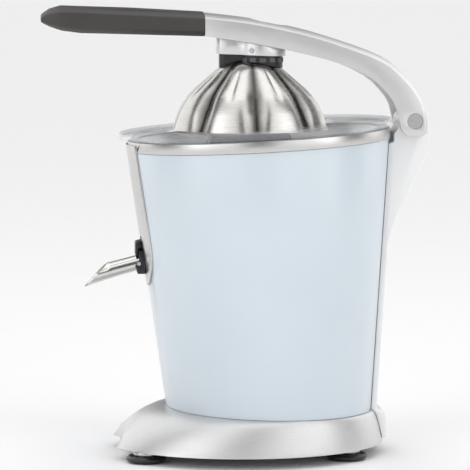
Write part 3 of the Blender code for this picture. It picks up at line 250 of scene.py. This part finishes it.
def paintValleyReflections(made, flutes, sharpness, dark):
    # painted reflection: a darker steel colour painted into the valleys, in place of the dark reflections
    # that the lights don't give
    tree = made.node_tree
    shader = tree.nodes["Principled BSDF"]
    colour = shader.inputs["Base Color"].links[0].from_socket
    centred = next(n for n in tree.nodes if n.bl_idname == "ShaderNodeMapping")
    group = tree.nodes.new("ShaderNodeGroup")
    group.node_tree = buildValleyGroup()
    group.inputs["Flutes"].default_value = flutes
    group.inputs["Sharpness"].default_value = sharpness
    tree.links.new(centred.outputs["Vector"], group.inputs["Vector"])
    mix = tree.nodes.new("ShaderNodeMix")
    mix.data_type = "RGBA"
    tree.links.new(group.outputs["Mask"], mix.inputs[0])
    tree.links.new(colour, mix.inputs[6])
    mix.inputs[7].default_value = (*dark, 1)
    tree.links.new(mix.outputs[2], shader.inputs["Base Color"])


pressAxis = tuple((a + b) / 2 for a, b in zip(*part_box("drive_shaft")))
looks = {
    "paint": grainyMaterial("paleBluePaint", {
        "dark": (0.625, 0.70, 0.755), "light": (0.655, 0.73, 0.785), "roughness": 0.3, "grainScale": 700,
        "bump": 0.03, "coat": 0.35, "coatRoughness": 0.12, "mottleScale": 12}),
    # the spine is the same silver casting as the lever, coloured whiter: its own silver plus painted back
    # light
    "spine": grainyMaterial("paleCastingPaintedBacklight", {
        "dark": (0.86, 0.86, 0.86), "light": (0.92, 0.92, 0.92), "roughness": 0.42, "grainScale": 1400,
        "bump": 0.08, "metallic": 0.25}),
    "cast": grainyMaterial("satinCasting", {
        "dark": (0.66, 0.66, 0.665), "light": (0.76, 0.76, 0.765), "roughness": 0.38, "grainScale": 1800,
        "bump": 0.12, "metallic": 0.85}),
    "grip": grainyMaterial("softGripRubber", {
        "dark": (0.040, 0.036, 0.035), "light": (0.052, 0.047, 0.045), "roughness": 0.5, "grainScale": 2600,
        "bump": 0.25}),
    "black": grainyMaterial("blackPlastic", {
        "dark": (0.011, 0.011, 0.013), "light": (0.017, 0.017, 0.020), "roughness": 0.34, "grainScale": 1600,
        "bump": 0.08}),
    # the ribs are the collar's own black plastic, coloured a lighter grey: a painted sheen for the light
    # panels reflected on them
    "rib": grainyMaterial("ribPlasticPaintedSheen", {
        "dark": (0.085, 0.083, 0.095), "light": (0.105, 0.103, 0.115), "roughness": 0.4, "grainScale": 1600,
        "bump": 0.08}),
    "grey": grainyMaterial("greyPlastic", {
        "dark": (0.20, 0.20, 0.21), "light": (0.26, 0.26, 0.27), "roughness": 0.5, "grainScale": 1500,
        "bump": 0.12}),
    "gearWhite": grainyMaterial("gearPlastic", {
        "dark": (0.70, 0.68, 0.62), "light": (0.78, 0.76, 0.70), "roughness": 0.5, "grainScale": 1200,
        "bump": 0.08}),
    "round": brushedMaterial("turnedSteel", {
        "dark": (0.50, 0.49, 0.47), "light": (0.68, 0.67, 0.65), "roughness": 0.24, "scale": 1500,
        "bump": 0.35, "marks": "round", "centre": pressAxis, "metallic": 1.0, "anisotropic": 0.5}),
    "base": brushedMaterial("brushedBaseSteel", {
        "dark": (0.60, 0.60, 0.60), "light": (0.72, 0.72, 0.72), "roughness": 0.42, "scale": 1200,
        "bump": 0.15, "marks": "alongX", "metallic": 0.75}),
    "tongue": brushedMaterial("brushedBowlSteel", {
        "dark": (0.55, 0.55, 0.54), "light": (0.70, 0.70, 0.69), "roughness": 0.3, "scale": 1300, "bump": 0.2,
        "marks": "round", "centre": pressAxis, "metallic": 0.95}),
    "spout": brushedMaterial("polishedSpoutSteel", {
        "dark": (0.62, 0.61, 0.59), "light": (0.74, 0.73, 0.71), "roughness": 0.2, "scale": 1300,
        "bump": 0.12, "marks": "alongX", "metallic": 1.0}),
    "steel": brushedMaterial("machinedSteel", {
        "dark": (0.45, 0.45, 0.45), "light": (0.62, 0.62, 0.62), "roughness": 0.28, "scale": 1800,
        "bump": 0.15, "marks": "alongX", "metallic": 1.0}),
}


def buildClearPlastic(values):
    # thin clear plastic: mostly see-through face on, more reflective and milky edge on
    made, tree, shader = emptyMaterial("clearCover", values)
    layer = tree.nodes.new("ShaderNodeLayerWeight")
    layer.inputs["Blend"].default_value = values["edgeBlend"]
    place = tree.nodes.new("ShaderNodeTexCoord")
    haze = tree.nodes.new("ShaderNodeTexNoise")
    haze.inputs["Scale"].default_value = values["hazeScale"]
    tree.links.new(place.outputs["Object"], haze.inputs["Vector"])
    colourBetween(tree, shader, haze.outputs["Fac"], values["dark"], values["light"], 0.4)
    lift = mathNode(tree, "MULTIPLY_ADD", layer.outputs["Facing"], values["edgeAlpha"])
    lift.node.inputs[2].default_value = values["faceAlpha"]
    tree.links.new(lift, shader.inputs["Alpha"])
    shader.inputs["Roughness"].default_value = values["roughness"]
    return made


looks["clear"] = buildClearPlastic({
    "dark": (0.70, 0.73, 0.76), "light": (0.76, 0.79, 0.82), "edgeBlend": 0.25, "edgeAlpha": 0.35,
    "faceAlpha": 0.06, "hazeScale": 6, "roughness": 0.06, "coat": 0.3})
print("materials ready:", len(looks))


def onBody(piece, look, node):
    piece.data.materials.clear()
    piece.data.materials.append(looks[look])
    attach(piece, bodyHolding(node))
    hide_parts(node)


# pieces kept in their modelled shape: merged, edges softened, smooth shading

copyValues = {"merge": 0.02, "flat": 1.0, "bevelAngle": 50, "segments": 2, "smooth": 38}


def finishCopy(node, look, values):
    source = nodes[node]
    piece = source.copy()
    piece.data = source.data.copy()
    piece.name = "fine_" + node
    bpy.context.scene.collection.objects.link(piece)
    piece.parent = None
    piece.matrix_world = Matrix()
    onlySelect(piece)
    bpy.ops.object.mode_set(mode="EDIT")
    bpy.ops.mesh.select_all(action="SELECT")
    bpy.ops.mesh.remove_doubles(threshold=copyValues["merge"] * mm)
    bpy.ops.mesh.dissolve_limited(angle_limit=math.radians(copyValues["flat"]))
    bpy.ops.object.mode_set(mode="OBJECT")
    if values.get("bevel"):
        soft = piece.modifiers.new("softEdge", "BEVEL")
        soft.width = values["bevel"] * mm
        soft.segments = values.get("segments", copyValues["segments"])
        soft.limit_method = "ANGLE"
        soft.angle_limit = math.radians(copyValues["bevelAngle"])
        bpy.ops.object.modifier_apply(modifier=soft.name)
    bpy.ops.object.shade_smooth_by_angle(angle=math.radians(values.get("smooth", copyValues["smooth"])))
    onBody(piece, look, node)


def keepNode(node, look):
    nodes[node].data.materials.clear()
    nodes[node].data.materials.append(looks[look])


def ringStack(name, rings, closed=False):
    # a circle extruded once for each further ring, then every ring set to its outline
    sides = len(rings[0])
    bpy.ops.object.select_all(action="DESELECT")
    bpy.ops.mesh.primitive_circle_add(vertices=sides, radius=0.1, fill_type="NOTHING", location=(0, 0, 0))
    piece = bpy.context.object
    piece.name = name
    bpy.ops.object.mode_set(mode="EDIT")
    bpy.ops.mesh.select_all(action="SELECT")
    for _ in rings[1:]:
        bpy.ops.mesh.extrude_region_move(TRANSFORM_OT_translate={"value": (0, 0, 0.01)})
    bpy.ops.object.mode_set(mode="OBJECT")
    for vertex, point in zip(piece.data.vertices, (p for ring in rings for p in ring)):
        vertex.co = point
    onlySelect(piece)
    bpy.ops.object.mode_set(mode="EDIT")
    bpy.ops.mesh.select_all(action="DESELECT")
    bpy.ops.mesh.select_non_manifold()
    if closed:
        bpy.ops.mesh.bridge_edge_loops()
    else:
        bpy.ops.mesh.fill_holes(sides=0)
    bpy.ops.mesh.select_all(action="SELECT")
    bpy.ops.mesh.normals_make_consistent(inside=False)
    bpy.ops.object.mode_set(mode="OBJECT")
    return piece


def smoothPath(points, steps):
    # a smooth curve through the points
    ends = [points[0], *points, points[-1]]
    path = []
    for a, b, c, d in zip(ends, ends[1:], ends[2:], ends[3:]):
        for i in range(steps):
            t = i / steps
            path.append(tuple(
                0.5 * (2 * q + (r - p) * t + (2 * p - 5 * q + 4 * r - w) * t**2)
                + 0.5 * (3 * q - p - 3 * r + w) * t**3
                for p, q, r, w in zip(a, b, c, d)
            ))
    return path + [points[-1]]


dome = {
    "flutes": 8, "sides": 288, "wall": 1.6, "hole": 3.3, "smoothAngle": 50, "outlineSteps": 8,
    "valleyDepth": 0.1, "valleyWidth": 6.2, "topWidening": 0.5, "rimDepth": 0.45, "rimFade": 3.0,
    # the valley colour is a painted dark reflection in the flute valleys, not a tone of the steel
    "topFade": 5, "topFadeEnd": 1.04, "valleySharpness": 5.0, "valleyPaintedReflection": (0.07, 0.068, 0.062),
    "shortDepth": 0.03, "shortWidth": 2.6, "shortMiddle": 0.66, "shortReach": 0.19,
    "outline": [
        (1.0, 0.0), (0.93, 0.254), (0.84, 0.436), (0.74, 0.572),
        (0.57, 0.74), (0.41, 0.89), (0.28, 0.965), (0.16, 1.0),
    ],
}


def domeGroove(degrees, rise):
    # depth of the flutes at one place, as a share of the radius: long valleys, and a short one on each lobe
    pitch = 360 / dome["flutes"]
    fromValley = (degrees + pitch / 2) % pitch - pitch / 2
    fromLobe = degrees % pitch - pitch / 2
    fade = dome["rimDepth"] + (1 - dome["rimDepth"]) * min(1.0, rise * dome["rimFade"])
    fade *= min(1.0, (dome["topFadeEnd"] - rise) * dome["topFade"])
    width = dome["valleyWidth"] * (1 + dome["topWidening"] * rise)
    long = dome["valleyDepth"] * math.exp(-(fromValley / width) ** 2) * fade
    window = math.exp(-((rise - dome["shortMiddle"]) / dome["shortReach"]) ** 4)
    return long + dome["shortDepth"] * math.exp(-(fromLobe / dome["shortWidth"]) ** 2) * window


def buildDome():
    low, high = (Vector(p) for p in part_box("press_dome"))
    middle = (low + high) / 2
    radius = (high.y - low.y) / 2
    height = high.z - low.z
    outline = smoothPath(dome["outline"], dome["outlineSteps"])
    turns = [math.tau * i / dome["sides"] for i in range(dome["sides"])]

    def around(turn, reach, z):
        return middle.x + reach * math.cos(turn), middle.y + reach * math.sin(turn), z

    def ring(share, rise, inset):
        z = low.z + height * rise - inset * rise
        reaches = [radius * share * (1 - domeGroove(math.degrees(t), rise)) - inset for t in turns]
        return [around(t, reach, z) for t, reach in zip(turns, reaches)]

    wall = dome["wall"] * mm
    outer = [ring(share, rise, 0) for share, rise in outline]
    inner = [ring(share, rise, wall) for share, rise in outline]
    hole = [[around(t, dome["hole"] * mm, z) for t in turns] for z in (high.z, high.z - wall)]
    piece = ringStack("flutedDome", [*outer, *hole, *inner[::-1]], closed=True)
    onlySelect(piece)
    bpy.ops.object.shade_smooth_by_angle(angle=math.radians(dome["smoothAngle"]))
    onBody(piece, "dome", "press_dome")


looks["dome"] = brushedMaterial("flutedDomeSteel", {
    "dark": (0.50, 0.49, 0.47), "light": (0.68, 0.67, 0.65), "roughness": 0.27, "scale": 1500,
    "bump": 0.35, "marks": "round", "centre": pressAxis, "metallic": 1.0, "anisotropic": 0.5})
# paint dark reflections into the dome's flute valleys
paintValleyReflections(looks["dome"], dome["flutes"], dome["valleySharpness"], dome["valleyPaintedReflection"])
buildDome()
print("dome modelled")

copies = {
    "body_shell": ("paint", {"bevel": 0.3}),
    "juice_collector": ("tongue", {"bevel": 0.25}),
    "strainer": ("round", {}),
    "reamer": ("grey", {"smooth": 30}),
    "splash_cover": ("clear", {"bevel": 0.4}),
    "rear_spine": ("spine", {"bevel": 1.2, "segments": 3, "smooth": 30}),
    "base_skirt": ("base", {"bevel": 0.8, "segments": 3, "smooth": 45}),
    "spout_tube": ("spout", {"smooth": 50}),
    "spout_holder": ("black", {"bevel": 0.5}),
    "spout_tab": ("black", {"bevel": 0.8, "segments": 3}),
    "dome_bracket": ("cast", {"bevel": 0.4, "smooth": 40}),
    "dome_collar": ("black", {"bevel": 0.6, "segments": 2}),
    "lever_arm": ("cast", {"bevel": 1.0, "segments": 3, "smooth": 50}),
    "lever_grip": ("grip", {"bevel": 1.6, "segments": 3, "smooth": 60}),
    "lever_badge": ("steel", {"bevel": 0.3}),
    "hinge_pin": ("steel", {"smooth": 30}),
    "hinge_nut": ("steel", {"bevel": 0.3}),
    "cord_gland": ("black", {"bevel": 0.3}),
    "base_plate": ("grey", {"bevel": 0.3}),
}
for number in range(1, 5):
    copies[f"foot_pad_{number}"] = ("black", {"bevel": 0.5})
    copies[f"foot_stem_{number}"] = ("steel", {"bevel": 0.3})
    copies[f"base_screw_{number}"] = ("steel", {"bevel": 0.3})
for node, (look, values) in copies.items():
    finishCopy(node, look, values)
plain = {
    "cast": "tilt_pin",
    "steel": "spout_pin dome_screw motor_can motor_rotor idler_axle shaft_bush drive_shaft thrust_cup "
             "thrust_bracket return_spring",
    "black": "start_switch switch_button",
    "grey": "gearbox_base gearbox_cover",
    "gearWhite": "idler_gear output_gear motor_pinion",
}
for look, names in plain.items():
    for node in names.split():
        keepNode(node, look)
print("pieces finished:", len(copies))

collarRibs = {
    "count": 14, "share": 0.62, "proud": 0.5, "inset": 0.5, "below": 1.2, "domeDrop": 1.0, "steps": 5,
    "blockAngle": 38, "bevel": 0.15, "segments": 2, "smoothAngle": 40,
}


def ribRings(middle, span, centreX, reaches, heights):
    # one rib: a stretch of a ring between two radii, from the lower height to the upper one
    inner, outer = reaches
    steps = collarRibs["steps"]
    turns = [middle + span * (k / steps - 0.5) for k in range(steps + 1)]
    outline = [(outer, t) for t in turns] + [(inner, t) for t in turns[::-1]]
    return [[(centreX + r * math.cos(t), r * math.sin(t), z) for r, t in outline] for z in heights]


def buildCollarRibs():
    # broad upright ribs round the collar's round part, clear of the bracket when the dome tilts
    low, high = (Vector(p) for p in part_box("dome_collar"))
    radius = (high.y - low.y) / 2
    reaches = (radius - collarRibs["inset"] * mm, radius + collarRibs["proud"] * mm)
    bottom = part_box("press_dome")[1][2] - collarRibs["domeDrop"] * mm
    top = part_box("dome_bracket")[0][2] - collarRibs["below"] * mm
    pitch = math.tau / collarRibs["count"]
    ribs = []
    for i in range(collarRibs["count"]):
        middle = (i + 0.5) * pitch
        if abs(math.remainder(middle - math.pi, math.tau)) < math.radians(collarRibs["blockAngle"]):
            continue  # the square part stands here
        rings = ribRings(middle, pitch * collarRibs["share"], high.x - radius, reaches, (bottom, top))
        ribs.append(ringStack(f"collarRib{i}", rings))
    bpy.ops.object.select_all(action="DESELECT")
    for rib in ribs:
        rib.select_set(True)
    bpy.context.view_layer.objects.active = ribs[0]
    bpy.ops.object.join()
    piece = bpy.context.object
    piece.name = "collarRibs"
    edge = piece.modifiers.new("softEdge", "BEVEL")
    edge.width = collarRibs["bevel"] * mm
    edge.segments = collarRibs["segments"]
    bpy.ops.object.modifier_apply(modifier=edge.name)
    bpy.ops.object.shade_smooth_by_angle(angle=math.radians(collarRibs["smoothAngle"]))
    onBody(piece, "rib", "dome_collar")


buildCollarRibs()
print("collar ribs modelled")


# floor, light and camera

floorValues = {
    "size": 60.0, "drop": 0.5, "roughness": 0.9, "mottle": 8,
    "dark": (0.90, 0.895, 0.90), "light": (0.91, 0.905, 0.91),
}


def buildFloor():
    place = (0, 0, -floorValues["drop"] * mm)
    bpy.ops.object.select_all(action="DESELECT")
    bpy.ops.mesh.primitive_plane_add(size=floorValues["size"], location=place)
    floor = bpy.context.object
    floor.name = "floor"
    made, tree, shader = emptyMaterial("paleFloor", {})
    shader.inputs["Roughness"].default_value = floorValues["roughness"]
    where = tree.nodes.new("ShaderNodeTexCoord")
    noise = tree.nodes.new("ShaderNodeTexNoise")
    noise.inputs["Scale"].default_value = floorValues["mottle"]
    tree.links.new(where.outputs["Object"], noise.inputs["Vector"])
    colourBetween(tree, shader, noise.outputs["Fac"], floorValues["dark"], floorValues["light"])
    floor.data.materials.append(made)


lights = {
    "topSoftbox": {"size": (1.6, 1.6), "place": (0.0, 0.1, 1.9), "target": (0, 0, 0.15), "power": 5},
    "leftSoftbox": {"size": (0.7, 1.6), "place": (-1.6, -1.0, 0.9), "target": (0, 0, 0.2), "power": 3},
    "rightSoftbox": {"size": (0.7, 1.6), "place": (1.6, -1.0, 0.9), "target": (0, 0, 0.2), "power": 3},
}


def areaLight(name, values):
    bpy.ops.object.light_add(type="AREA", location=values["place"])
    light = bpy.context.object
    light.name = name
    light.data.shape = "RECTANGLE"
    light.data.size, light.data.size_y = values["size"]
    light.data.energy = values["power"]
    aim = Vector(values["target"]) - Vector(values["place"])
    light.rotation_euler = aim.to_track_quat("-Z", "Y").to_euler()


sky = {
    "boxes": 4.0, "turn": 0.08, "flagFrom": 0.1, "flagTo": 0.85, "boxLevel": 1.35, "flagLevel": 0.1,
    "fadeFrom": 0.72, "fadeTo": 0.95, "ceilingLevel": 1.05,
}


def softRange(tree, value, low, high):
    ramp = tree.nodes.new("ShaderNodeMapRange")
    ramp.interpolation_type = "SMOOTHSTEP"
    ramp.inputs["From Min"].default_value = low
    ramp.inputs["From Max"].default_value = high
    tree.links.new(value, ramp.inputs["Value"])
    return ramp


def buildSky():
    # four tall softboxes with dark flags between them, under an evenly lit ceiling
    world = bpy.data.worlds.new("studio")
    bpy.context.scene.world = world
    world.use_nodes = True
    tree = world.node_tree
    background = tree.nodes["Background"]
    background.inputs["Color"].default_value = (1, 1, 1, 1)
    place = tree.nodes.new("ShaderNodeTexCoord")
    parts = tree.nodes.new("ShaderNodeSeparateXYZ")
    tree.links.new(place.outputs["Generated"], parts.inputs[0])
    turn = mathNode(tree, "ARCTAN2", parts.outputs[1], parts.outputs[0])
    shifted = mathNode(tree, "ADD", turn, sky["turn"])
    wave = mathNode(tree, "COSINE", mathNode(tree, "MULTIPLY", shifted, sky["boxes"]))
    bands = softRange(tree, wave, sky["flagFrom"], sky["flagTo"])
    bands.inputs["To Min"].default_value = sky["boxLevel"]
    bands.inputs["To Max"].default_value = sky["flagLevel"]
    height = softRange(tree, parts.outputs[2], sky["fadeFrom"], sky["fadeTo"])
    mix = tree.nodes.new("ShaderNodeMix")
    tree.links.new(height.outputs["Result"], mix.inputs[0])
    tree.links.new(bands.outputs["Result"], mix.inputs[2])
    mix.inputs[3].default_value = sky["ceilingLevel"]
    tree.links.new(mix.outputs[0], background.inputs["Strength"])


view = {
    "distance": 2.4, "height": 0.405, "towardFront": 4.7, "aimHeight": 0.174, "fieldWidth": 0.376,
    "sensorWidth": 36, "farthest": 100,
}


def buildCamera():
    swing = math.radians(view["towardFront"])
    eye = Vector((-math.sin(swing), -math.cos(swing), 0)) * view["distance"]
    eye.z = view["height"]
    aim = Vector((0, 0, view["aimHeight"])) - eye
    bpy.ops.object.camera_add(location=eye)
    camera = bpy.context.object
    camera.name = "studioCamera"
    camera.rotation_euler = aim.to_track_quat("-Z", "Y").to_euler()
    camera.data.sensor_width = view["sensorWidth"]
    camera.data.lens = view["sensorWidth"] * aim.length / view["fieldWidth"]
    camera.data.clip_end = view["farthest"]
    bpy.context.scene.camera = camera


buildFloor()
for name, values in lights.items():
    areaLight(name, values)
buildSky()
buildCamera()
bpy.context.scene.view_settings.view_transform = "Standard"
print("stage ready")
